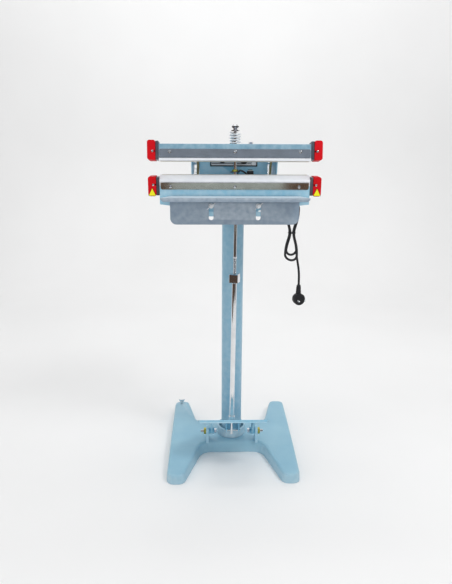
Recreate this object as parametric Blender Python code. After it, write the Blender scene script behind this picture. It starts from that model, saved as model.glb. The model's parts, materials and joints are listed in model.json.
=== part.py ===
"""Foot-operated impulse heat sealer: a pedestal with a pedal, a pull rod and a pair of sealing jaws.

Lengths are in millimetres and angles in degrees. The mesh helpers turn them into Blender's metres.
X runs to the operator's right, Y away from the operator and Z up. The drawing's zero is on the floor;
the bodies' empties then move everything by ORIGIN_SHIFT_Y, which puts the origin midway between the tips
of the base's legs. Pieces that turn are drawn level or closed in the frame of their body's empty, and the
empty then tilts them to the rest pose.
"""

import math

import bmesh
import bpy
from mathutils import Matrix, Vector

MM = 0.001
GAP = 0.3
ORIGIN_SHIFT_Y = -18.0

# Base
BASE_HALF_WIDTH = 197.0
BASE_FRONT = -206.0
BASE_BACK = 242.0
BASE_HEIGHT = 38.0
FRONT_TIP_DROP = 0.24
BACK_TIP_DROP = 0.06
LEG_TIP_INNER_X = 146.0
CROSSBAR_FRONT = -38.0
CROSSBAR_BACK = 92.0
CASTING_WALL = 6.0
LEVELLING_SCREW_AT = (-172.0, 221.0)

# Column
COLUMN_Y = 27.0
COLUMN_RADIUS = 32.0
COLUMN_WALL = 3.0
COLUMN_TOP = 799.7
SOCKET_RADIUS = 45.0
SOCKET_HEIGHT = 27.7

# Pedal and pull rod
PEDAL_PIVOT = (0.0, -31.0, 73.0)
PEDAL_REST_ANGLE = 31.0
PEDAL_HALF_WIDTH = 104.0
PEDAL_FRONT = -165.0
PEDAL_TOP = 29.0
EAR_INNER_X = 73.5
EAR_THICKNESS = 8.0
ROD_PIN = (0.0, -80.0, 105.0)
ROD_LEAN = 3.2
ROD_FOOT_X = -3.0
BLOCK_X = 3.0
ROD_HEAD_X = 9.5
SPINDLE_X = 2.0
BLOCK_SIZE = 26.0
BLOCK_BOTTOM = 465.3
LINK_BOTTOM = 662.0
LINK_TOP = 690.0
SPRING_SEAT = 829.5
SPRING_TOP = 886.0

# Head
FRAME_BOTTOM = 800.0
FRAME_TOP = 806.0
FRAME_INNER_X = 96.7
FRAME_OUTER_X = 99.7
JAW_FRONT = -91.0
JAW_BACK = -57.0
JAW_HALF_LENGTH = 202.0
BAR_HALF_LENGTH = 202.0
LOWER_WEB_TOP = 849.0
LOWER_BAR_TOP = 876.7
SHEET = 2.0
JAW_PIVOT = (0.0, 130.0, 895.0)
JAW_OPEN_ANGLE = 9.8
UPPER_BAR_BOTTOM = 878.7
UPPER_COVER_TOP = 921.6
ARM_OUTER_X = 118.0
ARM_INNER_X = 104.0
CROSSBAR_AT = (-37.5, 897.0)
END_COVER_X = 211.0
END_COVER_END_X = 232.5
HOUSING_HALF_WIDTH = 96.0
HOUSING_FRONT = 5.0
HOUSING_BACK = 112.0
HOUSING_TOP = 935.0
PANEL_BOTTOM = 894.0
PANEL_TOP = 930.0
KNOB_AT = (28.0, 912.0)
ROCKER_AT = (-32.0, 912.0)
SWITCH_X = (35.0, 53.0)
SWITCH_Y = (-46.0, -30.0)
SWITCH_Z = (862.0, 885.0)

# Tray
TRAY_FACE = -97.0
TRAY_SHEET = 1.5
TRAY_TOP = 823.0
TRAY_BOTTOM = 746.0
TRAY_HALF_WIDTH = 175.0
LIP_HALF_WIDTH = 197.0
TRAY_FRONT = -139.0
SLOT_X = 64.0
SLOT_HALF_WIDTH = 6.5
WING_SCREW_Z = 797.0

# Mains cord
CORD_DIAMETER = 7.0
GLAND_Y = 60.0
GLAND_Z = 830.0
GLAND_END_X = 128.0
HANK_X = 180.0
HANK_HALF_WIDTH = 21.0
HANK_HALF_DEPTH = 11.0
HANK_TOP = 790.0
HANK_BOTTOM = 606.0
PLUG_AT = (208.0, 60.0, 485.0)
PLUG_TURN = 16.0
PLUG_NECK = 46.0
PLUG_RADIUS = 18.7

SWITCH_SCREW_X = 45.0
PRESSURE_NUT_Z = ROD_PIN[2] + SPRING_TOP
BLOCK_MIDDLE = BLOCK_BOTTOM + BLOCK_SIZE / 2

# Each body's zero point on its joint's axis, as drawn level or closed.
BODIES = {
    "root": (0.0, 0.0, 0.0),
    "pedal": PEDAL_PIVOT,
    "pull_rod": ROD_PIN,
    "coupling_block": (BLOCK_X, ROD_PIN[1], ROD_PIN[2] + BLOCK_MIDDLE),
    "pressure_nut": (SPINDLE_X, ROD_PIN[1], PRESSURE_NUT_Z),
    "upper_jaw": JAW_PIVOT,
    "switch_screw": (SWITCH_SCREW_X, *CROSSBAR_AT),
    "tray": (0.0, TRAY_FACE, TRAY_TOP),
    "wing_left": (-SLOT_X, TRAY_FACE, WING_SCREW_Z),
    "wing_right": (SLOT_X, TRAY_FACE, WING_SCREW_Z),
    "knob": (KNOB_AT[0], HOUSING_FRONT, KNOB_AT[1]),
    "rocker": (ROCKER_AT[0], HOUSING_FRONT, ROCKER_AT[1]),
    "switch_lever": (0.0, SWITCH_Y[0], SWITCH_Z[1] + 1.6),
    "levelling": (*LEVELLING_SCREW_AT, 0.0),
}

# Bodies that are drawn level or closed and then turned about X: the pivot and the angle.
TILTS = {
    "pedal": (PEDAL_PIVOT, -PEDAL_REST_ANGLE),
    "pull_rod": (ROD_PIN, -ROD_LEAN),
    "coupling_block": (ROD_PIN, -ROD_LEAN),
    "pressure_nut": (ROD_PIN, -ROD_LEAN),
    "upper_jaw": (JAW_PIVOT, -JAW_OPEN_ANGLE),
    "switch_screw": (JAW_PIVOT, -JAW_OPEN_ANGLE),
}

FINISHES = {
    "blue_enamel": ("8FB3C6", 0.38, 0.0),
    "column_enamel": ("6F9DB4", 0.35, 0.0),
    "tray_enamel": ("8496AB", 0.45, 0.0),
    "red_cover": ("C00815", 0.4, 0.0),
    "polished_steel": ("B4B4B0", 0.15, 1.0),
    "aluminium": ("D4D6D8", 0.35, 1.0),
    "chrome": ("D8D8DA", 0.08, 1.0),
    "yellow_zinc": ("C9BE62", 0.35, 1.0),
    "dark_steel": ("56585C", 0.4, 1.0),
    "black_plastic": ("1C1C1E", 0.5, 0.0),
    "black_cord": ("232326", 0.55, 0.0),
    "copper_winding": ("A8622E", 0.4, 0.6),
    "circuit_board": ("2C6B3C", 0.5, 0.0),
    "sealing_cloth": ("DAD5CB", 0.6, 0.0),
    "lead_sleeve": ("7B7D58", 0.6, 0.0),
    "grey_panel": ("C9CDD0", 0.5, 0.0),
}


def clear_scene():
    for obj in list(bpy.data.objects):
        bpy.data.objects.remove(obj, do_unlink=True)


def linear(channel):
    return channel / 12.92 if channel <= 0.04045 else ((channel + 0.055) / 1.055) ** 2.4


def make_finishes():
    """One Principled BSDF material for each finish."""
    for name, (colour, roughness, metallic) in FINISHES.items():
        material = bpy.data.materials.new(name)
        material.use_nodes = True
        shader = material.node_tree.nodes["Principled BSDF"]
        channels = [linear(int(colour[at : at + 2], 16) / 255) for at in (0, 2, 4)]
        shader.inputs["Base Color"].default_value = (*channels, 1.0)
        shader.inputs["Roughness"].default_value = roughness
        shader.inputs["Metallic"].default_value = metallic


def make_bodies():
    """One empty on each body's joint axis, tilted to the rest pose."""
    for name, drawn_at in BODIES.items():
        pivot, tilt = TILTS.get(name, (drawn_at, 0.0))
        turn = Matrix.Rotation(math.radians(tilt), 3, "X")
        rest_at = Vector(pivot) + turn @ (Vector(drawn_at) - Vector(pivot))
        rest_at.y += ORIGIN_SHIFT_Y
        empty = bpy.data.objects.new(f"axis_{name}", None)
        empty.location = rest_at * MM
        empty.rotation_euler.x = math.radians(tilt)
        bpy.context.collection.objects.link(empty)


def place(obj, body, finish):
    """Gives an object its finish and hangs it on its body's empty."""
    if finish:
        obj.data.materials.append(bpy.data.materials[finish])
    obj.parent = bpy.data.objects[f"axis_{body}"]
    bpy.context.collection.objects.link(obj)
    return obj


def solid(name, mesh, finish, body="root"):
    """An object from a bmesh in millimetres, drawn with the body level in the object's own frame."""
    bmesh.ops.translate(mesh, verts=mesh.verts, vec=-Vector(BODIES[body]))
    bmesh.ops.scale(mesh, verts=mesh.verts, vec=(MM, MM, MM))
    bmesh.ops.recalc_face_normals(mesh, faces=mesh.faces)
    data = bpy.data.meshes.new(name)
    mesh.to_mesh(data)
    mesh.free()
    data.shade_smooth()
    data.set_sharp_from_angle(angle=math.radians(35))
    return place(bpy.data.objects.new(name, data), body, finish)


def helper(name, mesh, body="root"):
    """A cutter or an added lump: left out of the model itself."""
    obj = solid(name, mesh, None, body)
    obj.hide_render = True
    obj.display_type = "WIRE"
    return obj


def combine(obj, operation, *meshes):
    """Adds to or cuts from an object with further shapes."""
    body = obj.parent.name[len("axis_") :]
    for number, mesh in enumerate(meshes):
        modifier = obj.modifiers.new(f"{operation.lower()}_{number}", "BOOLEAN")
        modifier.operation = operation
        modifier.solver = "EXACT"
        modifier.object = helper(f"{obj.name}_{operation.lower()}_{number}", mesh, body)
    return obj


def add(obj, *meshes):
    return combine(obj, "UNION", *meshes)


def cut(obj, *meshes):
    return combine(obj, "DIFFERENCE", *meshes)


def arc(centre, radius, start, end, steps):
    """Points along an arc, angles in degrees from the first axis."""
    points = []
    for step in range(steps + 1):
        angle = math.radians(start + (end - start) * step / steps)
        points.append((centre[0] + radius * math.cos(angle), centre[1] + radius * math.sin(angle)))
    return points


def rounded(corners, steps=4):
    """An outline from (a, b, radius) corners, each replaced by an arc where its radius isn't 0."""
    outline = []
    for index, (a, b, radius) in enumerate(corners):
        corner = Vector((a, b))
        if not radius:
            outline.append(tuple(corner))
            continue
        before = (Vector(corners[index - 1][:2]) - corner).normalized()
        after = (Vector(corners[(index + 1) % len(corners)][:2]) - corner).normalized()
        half = before.angle(after) / 2
        centre = corner + (before + after).normalized() * radius / math.sin(half)
        start = corner + before * radius / math.tan(half) - centre
        end = corner + after * radius / math.tan(half) - centre
        turn = start.angle_signed(end)
        for step in range(steps + 1):
            spoke = start.copy()
            spoke.rotate(Matrix.Rotation(-turn * step / steps, 2))
            outline.append(tuple(centre + spoke))
    return outline


def rectangle(a0, a1, b0, b1, radius=0.0, steps=3):
    return rounded([(a0, b0, radius), (a1, b0, radius), (a1, b1, radius), (a0, b1, radius)], steps)


def on_axis(axis, along, point):
    """The 3-D point of an outline point at a place along an axis."""
    a, b = point
    return {"X": (along, a, b), "Y": (a, along, b), "Z": (a, b, along)}[axis]


def loft(sections):
    """A closed solid through rings of equal length, capped at both ends."""
    mesh = bmesh.new()
    rings = [[mesh.verts.new(point) for point in section] for section in sections]
    for lower, upper in zip(rings, rings[1:]):
        for index in range(len(lower)):
            after = (index + 1) % len(lower)
            mesh.faces.new((lower[index], lower[after], upper[after], upper[index]))
    mesh.faces.new(rings[0])
    mesh.faces.new(rings[-1])
    return mesh


def prism(axis, low, high, outline):
    return loft([[on_axis(axis, along, point) for point in outline] for along in (low, high)])


def box(x, y, z, bevel=0.0):
    mesh = prism("Z", *z, [(x[0], y[0]), (x[1], y[0]), (x[1], y[1]), (x[0], y[1])])
    if bevel:
        bmesh.ops.bevel(
            mesh, geom=mesh.edges[:], offset=bevel, segments=1, affect="EDGES", clamp_overlap=True
        )
    return mesh


def turned(profile, centre, axis="Z", sides=24):
    """A solid turned from (radius, height) points; a profile off the axis gives a ring."""
    points = []
    for side in range(sides):
        angle = math.tau * side / sides
        ring = []
        for radius, height in profile:
            a, b = radius * math.cos(angle), radius * math.sin(angle)
            ring.append(Vector(on_axis(axis, height, (a, b))) + Vector(centre))
        points.append(ring)
    mesh = bmesh.new()
    rings = [[mesh.verts.new(point) for point in ring] for ring in points]
    count = len(profile)
    hollow = all(radius > 0 for radius, _ in profile) and profile[0] == profile[-1]
    for index, ring in enumerate(rings):
        other = rings[(index + 1) % sides]
        for step in range(count - 1):
            mesh.faces.new((ring[step], other[step], other[step + 1], ring[step + 1]))
    if hollow:
        bmesh.ops.remove_doubles(mesh, verts=mesh.verts, dist=1e-4)
    else:
        mesh.faces.new([ring[0] for ring in rings])
        mesh.faces.new([ring[-1] for ring in rings])
    return mesh


def rod(start, end, radius, sides=16):
    """A round bar between two points."""
    start, end = Vector(start), Vector(end)
    turn = (end - start).to_track_quat("Z", "Y").to_matrix().to_4x4()
    mesh = prism("Z", 0.0, (end - start).length, arc((0, 0), radius, 0, 360 - 360 / sides, sides - 1))
    mesh.transform(Matrix.Translation(start) @ turn)
    return mesh


def helix(centre, radius, wire, low, high, turns, per_turn=14, sides=6):
    """A coil spring: a closed tube along a helix about a vertical axis."""
    sections = []
    steps = int(turns * per_turn)
    for step in range(steps + 1):
        angle = math.tau * step / per_turn
        rise = low + (high - low) * step / steps
        spoke = Vector((math.cos(angle), math.sin(angle), 0.0))
        middle = Vector((centre[0], centre[1], rise)) + spoke * radius
        ring = []
        for side in range(sides):
            tilt = math.tau * side / sides
            offset = spoke * math.cos(tilt) + Vector((0, 0, 1)) * math.sin(tilt)
            ring.append(middle + offset * wire / 2)
        sections.append(ring)
    return loft(sections)


def smooth_route(points, spacing):
    """Points every so far along a Catmull-Rom curve through the route's own points."""
    points = [Vector(point) for point in points]
    points = [2 * points[0] - points[1], *points, 2 * points[-1] - points[-2]]
    dense = []
    for a, b, c, d in zip(points, points[1:], points[2:], points[3:]):
        for step in range(40):
            t = step / 40
            dense.append(
                0.5 * (2 * b + (c - a) * t + (2 * a - 5 * b + 4 * c - d) * t**2 + (3 * b - a - 3 * c + d) * t**3)
            )
    dense.append(points[-2])
    length = sum((b - a).length for a, b in zip(dense, dense[1:]))
    count = max(2, round(length / spacing))
    kept, walked = [dense[0]], 0.0
    for a, b in zip(dense, dense[1:]):
        walked += (b - a).length
        if walked >= length * len(kept) / count - 1e-6 and len(kept) < count:
            kept.append(b)
    return kept + [dense[-1]]


def tube(name, points, diameter, finish, body="root"):
    """A cord or a wire as a curve with a round bevel and filled caps."""
    curve = bpy.data.curves.new(name, "CURVE")
    curve.dimensions = "3D"
    curve.bevel_depth = diameter / 2 * MM
    curve.bevel_resolution = 2
    curve.use_fill_caps = True
    line = curve.splines.new("POLY")
    line.points.add(len(points) - 1)
    offset = Vector(BODIES[body])
    for point, place_at in zip(line.points, points):
        point.co = (*((Vector(place_at) - offset) * MM), 1.0)
    return place(bpy.data.objects.new(name, curve), body, finish)


def mirrored(outline):
    """Both halves of an outline that is drawn on the +X side, from front to back."""
    return outline + [(-x, y) for x, y in reversed(outline)]


def base_outline(inset):
    """The H of the base: two legs along Y joined by a crossbar."""
    tip_inner, tip_outer = LEG_TIP_INNER_X + inset, BASE_HALF_WIDTH - inset
    half = rounded(
        [
            (0.0, CROSSBAR_FRONT + inset, 0),
            (95.0 + inset, CROSSBAR_FRONT + inset, 42.0 + inset),
            (tip_inner, BASE_FRONT + inset, 22.0 - inset),
            (tip_outer, BASE_FRONT + inset, 22.0 - inset),
            (tip_outer, BASE_BACK - inset, 20.0 - inset),
            (tip_inner, BASE_BACK - inset, 19.0 - inset),
            (112.0 + inset, CROSSBAR_BACK - inset, 34.0 + inset),
            (0.0, CROSSBAR_BACK - inset, 0),
        ]
    )
    return mirrored(half[1:-1])


def drop_legs(mesh):
    """Splits the top where the legs leave the crossbar and lowers the legs towards their tips."""
    front, back = -60.0, 110.0
    for y, normal in ((front, -1), (back, 1)):
        parts = mesh.verts[:] + mesh.edges[:] + mesh.faces[:]
        bmesh.ops.bisect_plane(mesh, geom=parts, plane_co=(0, y, 0), plane_no=(0, normal, 0))
    for vert in mesh.verts:
        forward = min(max((front - vert.co.y) / (front - BASE_FRONT), 0), 1)
        rearward = min(max((vert.co.y - back) / (BASE_BACK - back), 0), 1)
        vert.co.z *= 1 - FRONT_TIP_DROP * forward - BACK_TIP_DROP * rearward
    return mesh


def make_base():
    edge = [(0.0, 0.0), (1.5, 30.0), (4.0, 36.0), (9.0, BASE_HEIGHT)]
    rings = [[(x, y, z) for x, y in base_outline(inset)] for inset, z in edge]
    base = solid("base_casting", drop_legs(loft(rings)), "blue_enamel")
    front, back = CROSSBAR_FRONT + CASTING_WALL, CROSSBAR_BACK - CASTING_WALL
    leg = [(116, front), (146, -158), (190, -158), (190, 196), (146, 196), (124, back), (116, back)]
    rooms = [rectangle(x - 34, x + 34, front, back, 8) for x in (-74.0, 0.0, 74.0)]
    rooms += [rounded([(side * x, y, 6) for x, y in leg]) for side in (-1, 1)]
    ceiling = BASE_HEIGHT - CASTING_WALL - 1
    bolt_hole = turned([(4.4, -2.0), (4.4, BASE_HEIGHT + 5)], (*LEVELLING_SCREW_AT, 0.0), sides=12)
    cut(base, bolt_hole, *[drop_legs(prism("Z", -1.0, ceiling, room)) for room in rooms])


def make_column():
    foot = BASE_HEIGHT + GAP
    top = foot + SOCKET_HEIGHT
    bore = COLUMN_RADIUS + GAP
    ring = [
        (bore, foot),
        (SOCKET_RADIUS, foot),
        (SOCKET_RADIUS, top - 2),
        (SOCKET_RADIUS - 2, top),
        (SOCKET_RADIUS - 5, top),
        (SOCKET_RADIUS - 6, top - 2),
        (SOCKET_RADIUS - 6, foot + 12),
        (bore, foot + 12),
        (bore, foot),
    ]
    solid("column_socket", turned(ring, (0, COLUMN_Y, 0), sides=32), "blue_enamel")
    inner = COLUMN_RADIUS - COLUMN_WALL
    wall = [
        (inner, foot + GAP),
        (COLUMN_RADIUS, foot + GAP),
        (COLUMN_RADIUS, COLUMN_TOP),
        (inner, COLUMN_TOP),
        (inner, foot + GAP),
    ]
    solid("column_tube", turned(wall, (0, COLUMN_Y, 0), sides=32), "column_enamel")


def make_pedal_mount(side, label):
    """An ear on the crossbar, with the bolt and the nut that the pedal turns on."""
    y, z = PEDAL_PIVOT[1:]
    inner, outer = EAR_INNER_X, EAR_INNER_X + EAR_THICKNESS
    ear = rounded(
        [(y - 16, BASE_HEIGHT + GAP, 0), (y + 26, BASE_HEIGHT + GAP, 0), (y + 15, z + 16, 14), (y - 14, z + 16, 14)]
    )
    plate = solid(f"pedal_ear_{label}", prism("X", *sorted((side * inner, side * outer)), ear), "blue_enamel")
    cut(plate, turned([(4.3, -200.0), (4.3, 200.0)], (0, y, z), "X", 12))
    head = turned([(7.5, side * 49.0), (7.5, side * 55.6)], (0, y, z), "X", 6)
    shank = turned([(4.0, side * 52.0), (4.0, side * 98.5)], (0, y, z), "X", 12)
    add(solid(f"pivot_bolt_{label}", shank, "chrome"), head)
    near, far = side * (outer + GAP), side * (outer + 7.5)
    nut = [(5.0, near), (10.0, near), (10.0, far), (5.0, far), (5.0, near)]
    solid(f"pivot_nut_{label}", turned(nut, (0, y, z), "X", 6), "yellow_zinc")


def make_levelling_screw():
    x, y = LEVELLING_SCREW_AT
    shank = turned([(4.0, 0.5), (4.0, 47.0)], (x, y, 0), sides=12)
    outline = [(x - 6, 43), (x + 6, 43), (x + 11, 54), (x + 4, 52), (x - 4, 52), (x - 11, 54)]
    add(solid("levelling_screw", shank, "chrome", "levelling"), prism("Y", y - 2, y + 2, outline))


def make_pedal():
    """Drawn level: the tread, its folded edges, two arms with bosses and the fork under it for the rod."""
    y, z = PEDAL_PIVOT[1:]
    top = z + PEDAL_TOP
    tread = rounded(
        [
            (-PEDAL_HALF_WIDTH, y + PEDAL_FRONT, 8),
            (PEDAL_HALF_WIDTH, y + PEDAL_FRONT, 8),
            (PEDAL_HALF_WIDTH, y - 80, 30),
            (70.0, y - 22, 8),
            (-70.0, y - 22, 8),
            (-PEDAL_HALF_WIDTH, y - 80, 30),
        ]
    )
    pedal = solid("pedal_plate", prism("Z", top - 4, top, tread), "blue_enamel", "pedal")
    front = y + PEDAL_FRONT
    lumps = [box((-98, 98), (front + 0.5, front + 3.5), (top - 9.0, top - 2))]
    for side in (-1, 1):
        arm = [(y - 120, top - 3, 0), (y - 118, top - 9, 4), (y - 8, z - 8, 6)]
        arm = rounded([*arm, (y + 8, z - 2, 6), (y + 2, z + 9, 6), (y - 24, top - 3, 0)])
        lumps.append(prism("X", *sorted((side * 61, side * 67)), arm))
        lumps.append(turned([(10.5, side * 56), (10.5, side * 73.2)], (0, y, z), "X", 20))
        cheek = rounded([(y - 72, top - 3, 0), (y - 72, z - 4, 5), (y - 46, z - 4, 5), (y - 44, top - 3, 0)])
        lumps.append(prism("X", *sorted((side * 17, side * 21)), cheek))
    lumps.append(box((-21, 21), (y - 46, y - 43), (z + 2, top - 3)))
    add(pedal, *lumps)
    reach = Vector((ROD_PIN[1] - y, ROD_PIN[2] - z))
    reach.rotate(Matrix.Rotation(math.radians(PEDAL_REST_ANGLE), 2))
    pin_y, pin_z = y + reach.x, z + reach.y
    slot = rectangle(-10.0, 10.0, pin_y - 24, pin_y + 11, 6)
    cut(
        pedal,
        turned([(4.3, -200.0), (4.3, 200.0)], (0, y, z), "X", 12),
        prism("Z", top - 12, top + 9, slot),
        turned([(3.3, -30.0), (3.3, 30.0)], (0, pin_y, pin_z), "X", 12),
    )


def rod_axis(height):
    """X of the lower and upper pull rods, which lean sideways, at a height over the pin."""
    return ROD_FOOT_X + (BLOCK_X - ROD_FOOT_X) * height / BLOCK_MIDDLE


def rod_point(height):
    return (rod_axis(height), ROD_PIN[1], ROD_PIN[2] + height)


def make_pull_rod():
    """Drawn upright over the pin: the foot rod, the head rod, the offset link and the spring spindle."""
    y, z = ROD_PIN[1:]
    foot = solid("pull_rod_lower", rod(rod_point(47.0), rod_point(BLOCK_BOTTOM - GAP), 7.0), "chrome", "pull_rod")
    add(foot, rod(rod_point(-14.0), rod_point(49.0), 4.6, 12), rod(rod_point(37.0), rod_point(50.0), 9.0, 16))
    cut(foot, turned([(3.3, -30.0), (3.3, 30.0)], (0, y, z), "X", 12))
    pin = turned([(3.0, -23.5), (3.0, 23.5)], (0, y, z), "X", 12)
    solid("rod_pin", pin, "chrome", "pull_rod")
    block_top = BLOCK_BOTTOM + BLOCK_SIZE
    head = rod(rod_point(block_top + GAP), rod_point(LINK_BOTTOM + 8), 4.6)
    solid("pull_rod_upper", head, "chrome", "pull_rod")
    link = rectangle(SPINDLE_X - 9, ROD_HEAD_X + 8, z + LINK_BOTTOM, z + LINK_TOP, 6)
    spindle = rod((SPINDLE_X, y, z + LINK_TOP - 4), (SPINDLE_X, y, z + SPRING_TOP + 12), 5.0)
    shaft = solid("spring_spindle", spindle, "chrome", "pull_rod")
    add(shaft, prism("Y", y - 6, y + 6, link))
    cut(shaft, rod(rod_point(LINK_BOTTOM - 5), rod_point(LINK_BOTTOM + 9), 4.9))


def make_coupling_block():
    half = BLOCK_SIZE / 2
    low, high = rod_point(BLOCK_BOTTOM), rod_point(BLOCK_BOTTOM + BLOCK_SIZE)
    square = [Vector((a * half, b * half, 0)) for a, b in ((-1, -1), (1, -1), (1, 1), (-1, 1))]
    turn = Matrix.Rotation(math.radians(-19), 4, "Z")
    rings = [[turn @ corner + Vector(end) for corner in square] for end in (low, high)]
    mesh = loft(rings)
    bmesh.ops.bevel(mesh, geom=mesh.edges[:], offset=1.2, segments=1, affect="EDGES")
    solid("coupling_block", mesh, "chrome", "coupling_block")


def make_pressure_spring():
    y, z = ROD_PIN[1:]
    seat, top = z + SPRING_SEAT, z + SPRING_TOP
    washer = [(5.4, seat), (15.0, seat), (15.0, seat + 2.5), (5.4, seat + 2.5), (5.4, seat)]
    solid("spring_washer", turned(washer, (SPINDLE_X, y, 0)), "chrome", "pull_rod")
    coil = helix((SPINDLE_X, y), 13.4, 4.2, seat + 5, top - 2.5, 6.5, 16)
    solid("pressure_spring", coil, "chrome", "pull_rod")
    nut = [
        (5.3, top + GAP),
        (12.3, top + GAP),
        (12.3, top + 3.5),
        (6.0, top + 4.0),
        (6.0, top + 8.0),
        (9.2, top + 8.4),
        (9.2, top + 14.0),
        (6.0, top + 18.0),
        (0.01, top + 18.5),
        (0.01, top + 13.0),
        (5.3, top + 13.0),
        (5.3, top + GAP),
    ]
    solid("pressure_nut", turned(nut, (SPINDLE_X, y, 0), sides=20), "chrome", "pressure_nut")


def make_head_frame():
    """The plate on the column, its collar and gusset, two cheeks for the jaw shaft and a stand for the switch."""
    corners = [(0, -88.7, 0), (75, -88.7, 4), (75, -8, 4), (FRAME_OUTER_X, 12, 4), (FRAME_OUTER_X, 152, 3)]
    corners += [(118, 158, 3), (118, 180, 3), (0, 180, 0)]
    outline = mirrored(rounded(corners)[1:-1])
    frame = solid("head_frame", prism("Z", FRAME_BOTTOM, FRAME_TOP, outline), "blue_enamel")
    pivot_y, pivot_z = JAW_PIVOT[1:]
    crown = [(pivot_y + 17, pivot_z + 17, 16), (pivot_y - 17, pivot_z + 17, 16)]
    cheek = rounded([(96, FRAME_TOP - 2, 0), (164, FRAME_TOP - 2, 0), *crown])
    lumps = [prism("X", *sorted((side * FRAME_INNER_X, side * FRAME_OUTER_X)), cheek) for side in (-1, 1)]
    collar, buried = COLUMN_RADIUS + 5, FRAME_BOTTOM + 3
    lumps.append(turned([(collar, 752.0), (collar, buried)], (0, COLUMN_Y, 0), sides=32))
    gusset = [(-40, 752), (40, 752), (75, 765), (75, buried), (-75, buried), (-75, 765)]
    lumps.append(prism("Y", COLUMN_Y - 5, COLUMN_Y + 5, gusset))
    lumps.append(box((38, 50), (-42, -37), (FRAME_TOP - 2, SWITCH_Z[0] - GAP)))
    add(frame, *lumps)
    slot = rectangle(SPINDLE_X - 9, SPINDLE_X + 9, -55, -30, 5)
    bore = COLUMN_RADIUS + GAP
    cut(
        frame,
        turned([(bore, 700.0), (bore, COLUMN_TOP + GAP)], (0, COLUMN_Y, 0), sides=32),
        prism("Z", 700, 900, slot),
        turned([(6.3, -150.0), (6.3, 150.0)], (0, pivot_y, pivot_z), "X", 16),
    )
    shaft = turned([(6.0, -122.0), (6.0, 122.0)], (0, pivot_y, pivot_z), "X", 16)
    solid("jaw_shaft", shaft, "chrome")


def make_lower_jaw():
    """A folded channel whose front apron dips towards the middle, with the sealing bar on it."""
    top, inner = LOWER_WEB_TOP, LOWER_WEB_TOP - SHEET
    sections = []
    for x, hem in ((-JAW_HALF_LENGTH, 800.0), (-60.0, 783.0), (60.0, 783.0), (JAW_HALF_LENGTH, 800.0)):
        ring = [(JAW_FRONT, hem), (JAW_FRONT, top), (JAW_BACK, top), (JAW_BACK, 807.0), (JAW_BACK - SHEET, 807.0)]
        ring += [(JAW_BACK - SHEET, inner), (JAW_FRONT + SHEET, inner), (JAW_FRONT + SHEET, hem)]
        sections.append([(x, y, z) for y, z in ring])
    body = solid("lower_jaw_body", loft(sections), "blue_enamel")
    for x in (-SLOT_X, SLOT_X):
        cut(body, turned([(3.4, -100.0), (3.4, -80.0)], (x, 0, WING_SCREW_Z), "Y", 12))
    bar = [
        (JAW_FRONT + 0.5, top + GAP),
        (JAW_FRONT + 0.5, 858.6),
        (JAW_FRONT - 1.2, 860.0),
        (JAW_FRONT - 1.2, 862.5),
        (JAW_FRONT + 0.5, 866.5),
        (-76.0, LOWER_BAR_TOP),
        (JAW_BACK, LOWER_BAR_TOP),
        (JAW_BACK, top + GAP),
    ]
    solid("lower_sealing_bar", prism("X", -BAR_HALF_LENGTH, BAR_HALF_LENGTH, bar), "aluminium")
    cloth = box((-196, 196), (-75, -58), (LOWER_BAR_TOP + GAP, LOWER_BAR_TOP + GAP + 0.5))
    solid("lower_sealing_cloth", cloth, "sealing_cloth")
    strip = rounded([(-199, 840, 5), (199, 840, 5), (199, 858, 0), (-199, 858, 0)])
    solid("lower_clamp_strip", prism("Y", JAW_FRONT - 1.5, JAW_FRONT - GAP, strip), "polished_steel")


def end_cover(side, low, high, slot_z, chamfer_top):
    """A red cap over a jaw's end, open towards the jaw, with a slot for its screw."""
    inner, outer = END_COVER_X, END_COVER_END_X
    bottom_cut, top_cut = (0, 5) if chamfer_top else (5, 0)
    corners = [(inner, low, bottom_cut), (outer, low, 6), (outer, high, 6), (inner, high, top_cut)]
    outline = [(side * a, b) for a, b in rounded(corners)]
    shell = prism("Y", JAW_FRONT - 2, JAW_BACK + 2, outline)
    inside = sorted((side * (inner - 4), side * (outer - 2)))
    room = box(inside, (JAW_FRONT, JAW_BACK), (low + 2, high - 2))
    slotted = sorted((side * (inner - 4), side * (inner + 8.5)))
    slot = box(slotted, (JAW_FRONT - 9, JAW_FRONT + 9), (slot_z - 1.6, slot_z + 1.6))
    return shell, room, slot


def make_end_pieces(jaw, body, bracket_span, cover_span, slot_z):
    for side, label in ((-1, "left"), (1, "right")):
        x = sorted((side * (BAR_HALF_LENGTH + GAP), side * (END_COVER_X - GAP)))
        block = box(x, (JAW_FRONT - 1, JAW_BACK + 1), bracket_span, 0.8)
        solid(f"{jaw}_end_bracket_{label}", block, "dark_steel", body)
        shell, room, slot = end_cover(side, *cover_span, slot_z, jaw == "upper")
        cut(solid(f"{jaw}_end_cover_{label}", shell, "red_cover", body), room, slot)


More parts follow.
